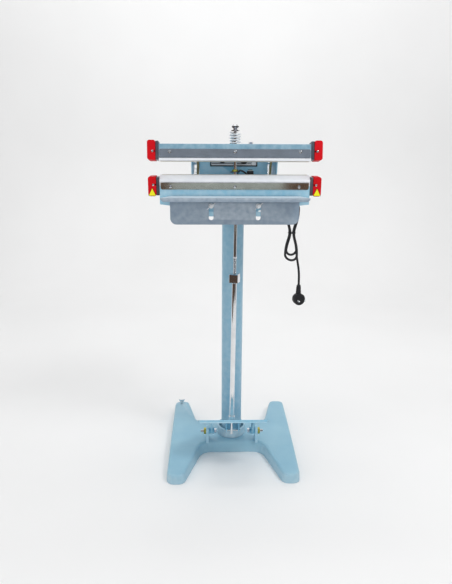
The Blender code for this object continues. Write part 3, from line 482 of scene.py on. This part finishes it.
CAMERA_PLACE = (-0.062, -1.629, 1.010)
CAMERA_ANGLES = (73.25, -0.30, -1.40)
LENS_LENGTH = 34.5
SENSOR_WIDTH = 36.0


def make_camera():
    """A camera level with the top of the machine, a little left of its middle."""
    lens = bpy.data.cameras.new("camera")
    lens.lens = LENS_LENGTH
    lens.sensor_width = SENSOR_WIDTH
    camera = bpy.data.objects.new("camera", lens)
    camera.location = CAMERA_PLACE
    camera.rotation_euler = [math.radians(angle) for angle in CAMERA_ANGLES]
    bpy.context.scene.collection.objects.link(camera)
    bpy.context.scene.camera = camera


GLAND_AT = Vector((128.3, 60.0, 830.0))
CORD_LEAD = [GLAND_AT, (146, 60, 829), (164, 60, 821), (176, 60, 807), (180, 60, 790.3)]
CORD_TAIL = [(205.5, 60, 580), (207.5, 60, 558), (208, 60, 531.3)]
HANK_MIDDLE_X = 180.0
FOLD_RADIUS = 17.3
LAYERS = (52.6, 60.0, 67.4)
TIE_Z = 694.0
TIE_SQUEEZE = 0.34
TIE_REACH = 34.0


def fold(start_y, end_y, level, upwards, heading):
    """Half a turn at a fold, whose change of layer happens near the middle of the turn."""
    points = []
    for step in range(1, 16):
        share = step / 16
        angle = math.pi * share
        change = min(1.0, max(0.0, (share - 0.2) / 0.6))
        eased = change * change * (3 - 2 * change)
        x = HANK_MIDDLE_X - heading * FOLD_RADIUS * math.cos(angle)
        rise = FOLD_RADIUS * math.sin(angle)
        z = level + rise if upwards else level - rise
        points.append(Vector((x, start_y + (end_y - start_y) * eased, z)))
    return points


def run(x, y, start_z, end_z):
    """One length of the hank, between two folds."""
    count = 20
    return [Vector((x, y, start_z + (end_z - start_z) * step / count)) for step in range(count + 1)]


def gathered(point):
    """Draws the runs of the hank together where the tie holds them."""
    near = math.exp(-(((point.z - TIE_Z) / TIE_REACH) ** 2))
    share = 1 - (1 - TIE_SQUEEZE) * near
    return Vector((HANK_MIDDLE_X + (point.x - HANK_MIDDLE_X) * share, point.y, point.z))


def cord_route():
    """From the gland down to the hank, through its five runs and four folds, and on to the plug."""
    front, middle, back = LAYERS
    left, right = HANK_MIDDLE_X - FOLD_RADIUS, HANK_MIDDLE_X + FOLD_RADIUS
    top, first_fold, second_fold = 768.0, 644.0, 626.0
    lead = smooth_route(CORD_LEAD, 5.0)
    hank = smooth_route([lead[-1], (184, middle, 770), (193, middle, 745), (right, middle, 722)], 5.0)[1:]
    hank += run(right, middle, 716.0, first_fold)
    hank += fold(middle, front, first_fold, False, -1)
    hank += run(left, front, first_fold, top)
    hank += fold(front, front, top, True, 1)
    hank += run(right, front, top, second_fold)
    hank += fold(front, back, second_fold, False, -1)
    hank += run(left, back, second_fold, top)
    hank += fold(back, back, top, True, 1)
    hank += run(right, back, top, 640.0)
    tail = smooth_route([(right, back, 634), (199.5, 65.5, 616), (202.5, 61.5, 598), *CORD_TAIL], 5.0)
    return lead + [gathered(point) for point in hank] + tail


PLUG_AT = Vector((208.0, 60.0, 485.0))
PLUG_TURN = 16.0


def make_plug():
    """The angled two-pin plug: a round moulding, a ribbed cable entry, two pins and two earth clips."""
    placing = Matrix.Translation(PLUG_AT) @ Matrix.Rotation(math.radians(PLUG_TURN), 4, "Z")
    facing = placing @ Matrix.Rotation(math.radians(90), 4, "X")
    profile = [(13.5, -12.0), (15.0, -11.6), (18.2, -5.0), (18.7, -3.0), (18.7, 11.2)]
    profile += [(18.0, 12.4), (16.5, 13.0), (15.2, 13.0), (14.8, 12.0)]
    body = turned(profile, facing, 72)
    ribs = [(9.4, 5.0), (8.6, 16.0)]
    for level in range(5):
        foot = 17.5 + level * 4.6
        radius = 8.2 - level * 0.24
        ribs += [(radius, foot), (radius, foot + 2.9), (radius - 0.9, foot + 3.3), (radius - 0.9, foot + 4.3)]
    ribs += [(6.6, 42.6), (4.6, 44.6), (4.4, 45.8)]
    moulding = object_from("plug_moulding", merged(body, turned(ribs, placing, 40)))
    fitted(moulding, "root", "black_plastic", FINISHES["black_plastic"], "mains_plug")
    pins = []
    for side in (-1, 1):
        at = facing @ Matrix.Translation((side * 9.5, 0, 0))
        pins.append(turned([(2.4, 11.0), (2.4, 29.0), (2.2, 30.6), (1.5, 31.6), (0.5, 32.0)], at, 24))
    metal = object_from("plug_pins", merged(*pins))
    fitted(metal, "root", "chrome", FINISHES["chrome"])
    clips = []
    for side in (-1, 1):
        clip = block((-2.6, -11.5, side * 15.4 - 0.5), (2.6, -2.0, side * 15.4 + 0.5), 0.3)
        clip.transform(placing)
        clips.append(clip)
    earth = object_from("plug_earth_clips", merged(*clips))
    fitted(earth, "root", "chrome", FINISHES["chrome"])
    return [moulding, metal, earth]


def make_cord():
    """The mains cord in one length, its tie, and its plug."""
    route = cord_route()
    cord = swept("mains_cord", route, CORD_DIAMETER)
    fitted(cord, "root", "black_cord", FINISHES["black_cord"], "cord_lead", "cord_hank", "cord_tail")
    plug = make_plug()
    half_width = FOLD_RADIUS * TIE_SQUEEZE + 4.8
    turns = []
    for step in range(97):
        angle = math.tau * step / 48
        x, y = (math.copysign(abs(way) ** 0.7, way) for way in (math.cos(angle), math.sin(angle)))
        turns.append((HANK_MIDDLE_X + half_width * x, LAYERS[1] + 12.0 * y, TIE_Z - 1.3 + 2.6 * step / 96))
    tie = swept("cord_tie", turns, 2.0, 3)
    fitted(tie, "root", "black_cord", FINISHES["black_cord"])


# ---------------------------------------------------------------- fine pieces


def screw_head(at, radius=4.2, height=2.4):
    """A pan head that faces the operator, with a cross recess."""
    placing = Matrix.Translation(at) @ Matrix.Rotation(math.radians(90), 4, "X")
    dome = [(radius, 0.0), (radius, height * 0.35), (radius * 0.86, height * 0.75)]
    dome += [(radius * 0.55, height * 0.97), (radius * 0.3, height), (radius * 0.22, height * 0.6)]
    return turned(dome, placing, 32)


def make_strip_screws():
    """Three screws hold each clamp strip, and one holds each end cover."""
    lower = [screw_head((x, STRIP_FACE, 847.5)) for x in STRIP_SCREWS_X]
    lower += [screw_head((side * COVER_SCREW_X, JAW_FRONT - 2.2, 852.5), 3.4, 2.0) for side in (-1, 1)]
    fitted(object_from("lower_strip_screws", merged(*lower)), "root", "chrome", FINISHES["chrome"])
    upper = [screw_head((x, STRIP_FACE, 901.0)) for x in STRIP_SCREWS_X]
    upper += [screw_head((side * COVER_SCREW_X, JAW_FRONT - 2.2, 902.0), 3.4, 2.0) for side in (-1, 1)]
    whole = merged(*upper)
    whole.transform(JAW_TILT)
    fitted(object_from("upper_strip_screws", whole), "upper_jaw", "chrome", FINISHES["chrome"])


def make_triangles():
    """A plain yellow triangle with a dark edge on each lower end cover."""
    yellow = moulded_plastic("yellow_vinyl_film", "EFE600", "FAF21E", 0.35, 1.5, 0.01, 0.0)
    dark = moulded_plastic("black_vinyl_film", "1A1A1A", "262626", 0.35, 1.5, 0.01, 0.0)
    face = corners("lower_end_cover_left")[0].y
    for side, label in SIDES:
        for name, half, foot, tip, out, finish in (
            ("edge", 10.6, 823.0, 844.6, 0.35, dark),
            ("film", 9.3, 823.8, 842.6, 0.55, yellow),
        ):
            middle = side * TRIANGLE_X
            outline = [(middle - half, foot), (middle + half, foot), (middle, tip)]
            film = object_from(f"triangle_{name}_{label}", extruded(outline, face - out, face - 0.1))
            fitted(film, "root", "red_cover", finish)


def make_label():
    """The dark rim and the plain stripes of the control panel on the front of the housing."""
    low, high = corners("control_panel")
    face, rim_width = low.y, 3.0
    bars = [
        block((low.x, face - 0.6, low.z), (high.x, face - 0.05, low.z + rim_width), 0.15),
        block((low.x, face - 0.6, high.z - rim_width), (high.x, face - 0.05, high.z), 0.15),
        block((low.x, face - 0.6, low.z), (low.x + rim_width, face - 0.05, high.z), 0.15),
        block((high.x - rim_width, face - 0.6, low.z), (high.x, face - 0.05, high.z), 0.15),
    ]
    rim = object_from("panel_rim", merged(*bars))
    fitted(rim, "root", "grey_panel", FINISHES["black_plastic"])
    stripes = printed_stripes("printed_label", "3E464C", "E2E6EA", 4.5)
    strip = block((low.x + 4, face - 0.3, low.z + 4), (high.x - 18, face - 0.05, low.z + 9))
    fitted(object_from("panel_label", strip), "root", "grey_panel", stripes)
    square = block((high.x - 15, face - 0.3, low.z + 4), (high.x - 5, face - 0.05, low.z + 14))
    pale = moulded_plastic("pale_printed_film", "D4D8DA", "E4E8EA", 0.4, 2.0, 0.01, 0.0)
    fitted(object_from("panel_square", square), "root", "grey_panel", pale)


def make_shelf_painted_light():
    """A thin sheet on the tray's shelf in a lighter tone than its hanging panel: painted light for the
    shelf's top, which the lamps above light strongly.
    """
    # A lighter, glossier copy of the tray enamel: painted light on the shelf's top.
    polished = stoved_enamel("satin_enamel_shelf_painted_light", "C4D4E0", "D4E2EC", "DCE6EE", roughness=0.3)
    outline = [(-174.0, -96.0), (174.0, -96.0), (195.5, -138.2), (-195.5, -138.2)]
    coat = bmesh.new()
    rings = [[coat.verts.new((x, y, z)) for x, y in outline] for z in (822.9, 823.3)]
    coat.faces.new(rings[0])
    coat.faces.new(rings[1])
    for step in range(4):
        following = (step + 1) % 4
        coat.faces.new((rings[0][step], rings[0][following], rings[1][following], rings[1][step]))
    fitted(object_from("tray_shelf_painted_light", coat), "tray", "tray_enamel", polished)


def make_slot_guides():
    """A folded guide behind each slot of the tray: two side limbs and a cross tab at their foot."""
    tab_face = -94.6
    for side, label in SIDES:
        x = side * TRAY_SLOT_X
        limbs = [
            block((x + at, tab_face, 768.0), (x + at + 3.0, tab_face + 2.6, TRAY_SCREW_Z), 0.3)
            for at in (-11, 8)
        ]
        cross = block((x - 11, tab_face, 768.0), (x + 11, tab_face + 1.5, 781.4), 0.4)
        piece = object_from(f"slot_guide_{label}", merged(cross, *limbs))
        fitted(piece, "root", "blue_enamel", FINISHES["blue_enamel"])


def make_wing_screws():
    """Cast wing screws: a small hub, a washer and two slender raised wings."""
    for side, label in SIDES:
        at = (side * TRAY_SLOT_X, -97.3, TRAY_SCREW_Z)
        facing = Matrix.Translation(at) @ Matrix.Rotation(math.radians(90), 4, "X")
        profile = [(3.0, -6.0), (3.0, 0.0), (7.0, 0.0), (7.0, 1.2)]
        profile += [(4.8, 1.3), (4.4, 6.2), (3.6, 7.0), (1.2, 7.3)]
        wings = []
        for turn in (0.0, math.pi):
            wing = block((3.0, -0.9, 2.0), (16.0, 0.9, 5.6), 0.8)
            wing.transform(Matrix.Rotation(math.radians(-14), 4, "Y"))
            wing.transform(facing @ Matrix.Rotation(math.radians(38) + turn, 4, "Z"))
            wings.append(wing)
        piece = object_from(f"wing_screw_{label}_cast", merged(turned(profile, facing, 40), *wings))
        fitted(piece, f"wing_{label}", "chrome", FINISHES["bright_zinc"], f"wing_screw_{label}")


def make_switch_wires():
    """Two thin wires from the micro switch across to the housing."""
    low = corners("switch_body")[0]
    brown = moulded_plastic("pvc_wire_brown", "3A2A20", "4A362A", 0.5, 1.5, 0.01, 0.0)
    for name, rise, finish in (("black", 0.0, FINISHES["black_cord"]), ("brown", 2.6, brown)):
        route = [
            (low.x + 0.6, low.y + 6, low.z + 12 + rise),
            (low.x - 8, low.y + 9, low.z + 19 + rise),
            (low.x - 19, low.y + 20, low.z + 22 + rise),
            (low.x - 24, low.y + 36, low.z + 14 + rise),
            (low.x - 22, low.y + 49, low.z + 5 + rise),
        ]
        wire = swept(f"switch_wire_{name}", smooth_route(route, 2.0), 2.2, 4)
        fitted(wire, "root", "black_cord", finish)


def make_knob_scale():
    """Short strokes round the timer knob, and a white line on the knob itself."""
    white = moulded_plastic("white_ink", "D8D8D4", "ECECE8", 0.5, 1.0, 0.01, 0.0)
    low, high = corners("timer_knob")
    middle_x, middle_z = (low.x + high.x) / 2, (low.z + high.z) / 2
    face = corners("control_panel")[0].y
    strokes = []
    for step in range(11):
        angle = math.radians(225 - 27 * step)
        stroke = block((12.6, face - 0.35, -0.35), (15.4, face - 0.05, 0.35))
        stroke.transform(Matrix.Translation((middle_x, 0, middle_z)) @ Matrix.Rotation(-angle, 4, "Y"))
        strokes.append(stroke)
    fitted(object_from("timer_scale", merged(*strokes)), "root", "grey_panel", white)
    pointer = block((middle_x - 0.6, low.y - 0.3, middle_z + 2), (middle_x + 0.6, low.y + 0.1, middle_z + 8))
    fitted(object_from("knob_pointer", pointer), "timer_knob", "black_plastic", white)


def make_sealing_faces():
    """The heating wire on the lower jaw and the cloth under the upper bar."""
    low, high = corners("lower_sealing_cloth")
    wire = block((low.x + 6, -68.5, high.z), (high.x - 6, -65.5, high.z + 0.35), 0.15)
    fitted(object_from("heating_wire", wire), "root", "aluminium", FINISHES["aluminium"])
    cloth = block((-200, -76.0, 878.0), (200, -60.0, 878.5), 0.15)
    cloth.transform(JAW_TILT)
    fitted(object_from("upper_sealing_cloth", cloth), "upper_jaw", "sealing_cloth", FINISHES["sealing_cloth"])


def make_springs():
    """Round-wire springs: two that lift the jaws, and the pressure spring on the spindle."""
    for label in ("left", "right"):
        node = f"return_spring_{label}"
        low, high = corners(node)
        x, y = (low.x + high.x) / 2, (low.y + high.y) / 2
        wire = swept(node + "_wire", coil((x, y), 5.5, low.z + 0.8, high.z - 0.8, 16), 1.6, 4)
        spring = as_mesh(wire)
        fitted(spring, None, "chrome", FINISHES["chrome"], node)
        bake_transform(spring)
    points = coil((SPINDLE_X, ROD_PIN.y), 13.4, ROD_PIN.z + 836.5, ROD_PIN.z + 883.5, 6.5)
    spring = swept("pressure_spring_wire", [ROD_TILT @ point for point in points], 3.9, 6)
    fitted(spring, "pull_rod", "chrome", FINISHES["bright_zinc"], "pressure_spring")


def make_spindle_fittings():
    """The nut, the washer and the trip lever on the spindle, and the pressure nut's dark band."""
    x, y = SPINDLE_X, ROD_PIN.y
    foot = ROD_PIN.z + 777.0
    upright = Matrix.Translation((x, y, 0))
    nut = turned([(7.6, foot + 2.2), (8.4, foot + 2.9), (8.4, foot + 7.6), (7.6, foot + 8.3)], upright, 6)
    washer = turned([(13.4, foot), (14.0, foot + 0.4), (14.0, foot + 1.8), (13.4, foot + 2.2)], upright, 40)
    lever = block((x - 12, y - 4.5, foot + 17.0), (x + 15, y + 4.5, foot + 20.0), 0.8)
    edge = foot + 120.4
    band = turned([(9.4, edge), (9.8, edge + 0.4), (9.8, edge + 2.2), (9.4, edge + 2.6)], upright, 40)
    for name, shapes, body, slot in (
        ("spindle_nut", (nut,), "pull_rod", "yellow_zinc"),
        ("spindle_washer", (washer, lever), "pull_rod", "dark_steel"),
        ("pressure_nut_band", (band,), "pressure_nut", "black_plastic"),
    ):
        whole = merged(*shapes)
        whole.transform(ROD_TILT)
        fitted(object_from(name, whole), body, slot, FINISHES[slot])


def rod_point(height):
    """A point on the pull rod's own line, which leans sideways as well as back."""
    x = -3.0 + 6.0 * height / 478.3
    return ROD_TILT @ Vector((x, ROD_PIN.y, ROD_PIN.z + height))


def make_rods():
    """The chromed lower rod, and the thinner upper rod with its thread above the block and its collar."""
    start, end = rod_point(36.6), rod_point(465.0)
    reach = (end - start).length
    profile = [(8.6, 0.0), (9.0, 0.6), (9.0, 12.2), (8.6, 12.8)]
    profile += [(7.0, 13.0), (7.0, reach - 0.8), (6.2, reach)]
    stem = turned([(4.2, -50.0), (4.6, -49.4), (4.6, 0.4)], along(start, end), 32)
    rod = merged(turned(profile, along(start, end), 48), stem)
    piece = object_from("lower_pull_rod", rod)
    fitted(piece, "pull_rod", "chrome", FINISHES["chrome"], "pull_rod_lower")
    start, end = rod_point(491.8), rod_point(670.0)
    reach = (end - start).length
    profile = [(3.9, 0.0)]
    pitch, thread_end = 1.5, 44.0
    crests = int(thread_end / pitch)
    for crest in range(crests):
        foot = 0.2 + crest * pitch
        profile += [(3.85, foot), (4.6, foot + pitch / 2)]
    profile += [(4.6, thread_end + 1), (4.6, reach)]
    piece = object_from("upper_pull_rod", turned(profile, along(start, end), 32), 20)
    fitted(piece, "pull_rod", "chrome", FINISHES["chrome"], "pull_rod_upper")
    collar = turned([(5.2, 44.6), (5.8, 45.2), (5.8, 48.4), (5.2, 49.0)], along(start, end), 32)
    fitted(object_from("rod_collar", collar), "pull_rod", "chrome", FINISHES["bright_zinc"])


def make_column():
    """The round column tube with a smooth wall."""
    low, high = corners("column_tube")
    middle = ((low.x + high.x) / 2, (low.y + high.y) / 2)
    radius = (high.x - low.x) / 2
    placing = Matrix.Translation((*middle, 0))
    profile = [(radius, low.z), (radius, high.z)]
    piece = object_from("column", turned(profile, placing, 96))
    fitted(piece, "root", "column_enamel", FINISHES["column_enamel"], "column_tube")


def make_micro_switch_details():
    """The plated tags and the seam of the micro switch."""
    low, high = corners("switch_body")
    tags = []
    for step in range(3):
        x = low.x + 4 + step * 5
        tags.append(block((x - 1.4, low.y - 2.6, low.z + 3), (x + 1.4, low.y - 0.1, low.z + 3.8), 0.2))
    fitted(object_from("switch_tags", merged(*tags)), "root", "yellow_zinc", FINISHES["yellow_zinc"])
    seam = block((low.x - 0.15, low.y - 0.15, high.z - 7.0), (high.x + 0.15, high.y + 0.15, high.z - 6.4))
    fitted(object_from("switch_seam", seam), "root", "black_plastic", FINISHES["black_plastic"])


def make_leads():
    """Braided leads from the housing to the upper jaw, with no body of their own."""
    route = [(99.8, 36, 836), (100, 24, 838), (101, 6, 850)]
    route += [(101, -15, 876), (100, -33, 898), (100, -50.5, 912)]
    for side, label in SIDES:
        node = f"heating_lead_{label}"
        points = smooth_route([(side * x, y, z) for x, y, z in route], 3.0)
        lead = as_mesh(swept(node + "_braid", points, 6.6, 4))
        fitted(lead, None, "lead_sleeve", FINISHES["lead_sleeve"], node)
        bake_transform(lead)


# ---------------------------------------------------------------- stage


def make_stage():
    """A pale floor that sweeps up into the backdrop behind the machine."""
    paper, tree, shader = new_finish("pale_paper_sweep", Roughness=0.75)
    tone = colour_between(tree, noise_of(tree, 900.0).outputs["Fac"], "EFEFEF", "F4F4F4")
    tree.links.new(tone, shader.inputs["Base Color"])
    radius, back, front, half_width, top = 0.9, 2.4, -4.0, 5.0, 5.0
    profile = [(front, 0.0), (back - radius, 0.0)]
    for step in range(1, 17):
        angle = math.pi / 2 * step / 16
        profile.append((back - radius + radius * math.sin(angle), radius - radius * math.cos(angle)))
    profile.append((back, top))
    shape = bmesh.new()
    sides = [[shape.verts.new((x, y, z)) for y, z in profile] for x in (-half_width, half_width)]
    for step in range(len(profile) - 1):
        shape.faces.new((sides[0][step], sides[1][step], sides[1][step + 1], sides[0][step + 1]))
    mesh = bpy.data.meshes.new("sweep")
    shape.to_mesh(mesh)
    shape.free()
    mesh.shade_smooth()
    mesh.materials.append(paper)
    sweep = bpy.data.objects.new("sweep", mesh)
    bpy.context.scene.collection.objects.link(sweep)


def softbox(name, place, aim, size, power):
    """A rectangular studio light that points at a place on the machine."""
    light = bpy.data.lights.new(name, "AREA")
    light.shape = "RECTANGLE"
    light.size, light.size_y = size
    light.energy = power
    lamp = bpy.data.objects.new(name, light)
    lamp.location = place
    lamp.rotation_euler = (Vector(aim) - Vector(place)).to_track_quat("-Z", "Y").to_euler()
    bpy.context.scene.collection.objects.link(lamp)


def board(name, hex_colour, start, end, low, high):
    """An upright board between two points of the floor, which only glossy surfaces mirror."""
    finish = new_finish(name, Base_Color=linear(hex_colour), Roughness=0.9)[0]
    mesh = bpy.data.meshes.new(name)
    feet = [(*place, low) for place in (start, end)]
    heads = [(*place, high) for place in (end, start)]
    mesh.from_pydata(feet + heads, [], [range(4)])
    mesh.materials.append(finish)
    piece = bpy.data.objects.new(name, mesh)
    bpy.context.scene.collection.objects.link(piece)
    piece.visible_camera = False
    piece.visible_shadow = False
    piece.visible_diffuse = False


def make_studio():
    """The dim room in front of the machine that the steel strips and the chromed rod mirror, in metres."""
    front, foot, sill, eaves, ridge = -2.6, 0.0, 0.52, 1.25, 3.2
    left, left_jamb, right_jamb, right = -1.1, -0.36, 0.45, 1.3
    board("dim_wall", "98A4B6", (-1.6, front), (1.6, front), eaves, ridge)
    board("dim_opening", "C6CEC8", (left_jamb, front), (right_jamb, front), sill, eaves)
    board("dim_foot", "34363E", (left_jamb, front), (right_jamb, front), foot, sill)
    board("dim_side_left", "6E5440", (left, front), (left_jamb, front), foot, eaves)
    board("dim_side_right", "6E5440", (right_jamb, front), (right, front), foot, eaves)
    board("dim_wing_left", "4A382C", (-1.9, 0.4), (left, front), foot, eaves)
    board("dim_wing_right", "30303A", (right, front), (1.9, -1.0), foot, eaves)


def make_lights():
    """Soft boxes round the machine, one on the backdrop, and a pale surround."""
    softbox("key", (1.5, -1.15, 2.75), (0, 0, 0.6), (0.7, 0.7), 23)
    softbox("fill", (-2.4, -1.3, 1.3), (0, 0, 0.6), (1.2, 2.0), 11)
    softbox("front", (0.3, -2.9, 1.2), (0, 0, 0.8), (2.2, 1.4), 13)
    softbox("overhead", (0, -0.2, 3.2), (0, 0, 0.4), (2.4, 2.4), 13)
    softbox("backdrop_light", (0, 1.0, 3.4), (0, 2.4, 1.2), (3.0, 0.8), 28)
    world = bpy.data.worlds.new("studio")
    world.use_nodes = True
    world.node_tree.nodes["Background"].inputs["Color"].default_value = linear("F6F6F6")
    world.node_tree.nodes["Background"].inputs["Strength"].default_value = 0.52
    bpy.context.scene.world = world
    bpy.context.scene.view_settings.view_transform = "Standard"


make_camera()
make_cord()
finish_cad_nodes()
make_column()
make_rods()
make_springs()
make_spindle_fittings()
make_leads()
make_sealing_faces()
make_strip_screws()
make_triangles()
make_label()
make_shelf_painted_light()
make_slot_guides()
make_wing_screws()
make_switch_wires()
make_knob_scale()
make_micro_switch_details()
make_stage()
make_studio()
make_lights()
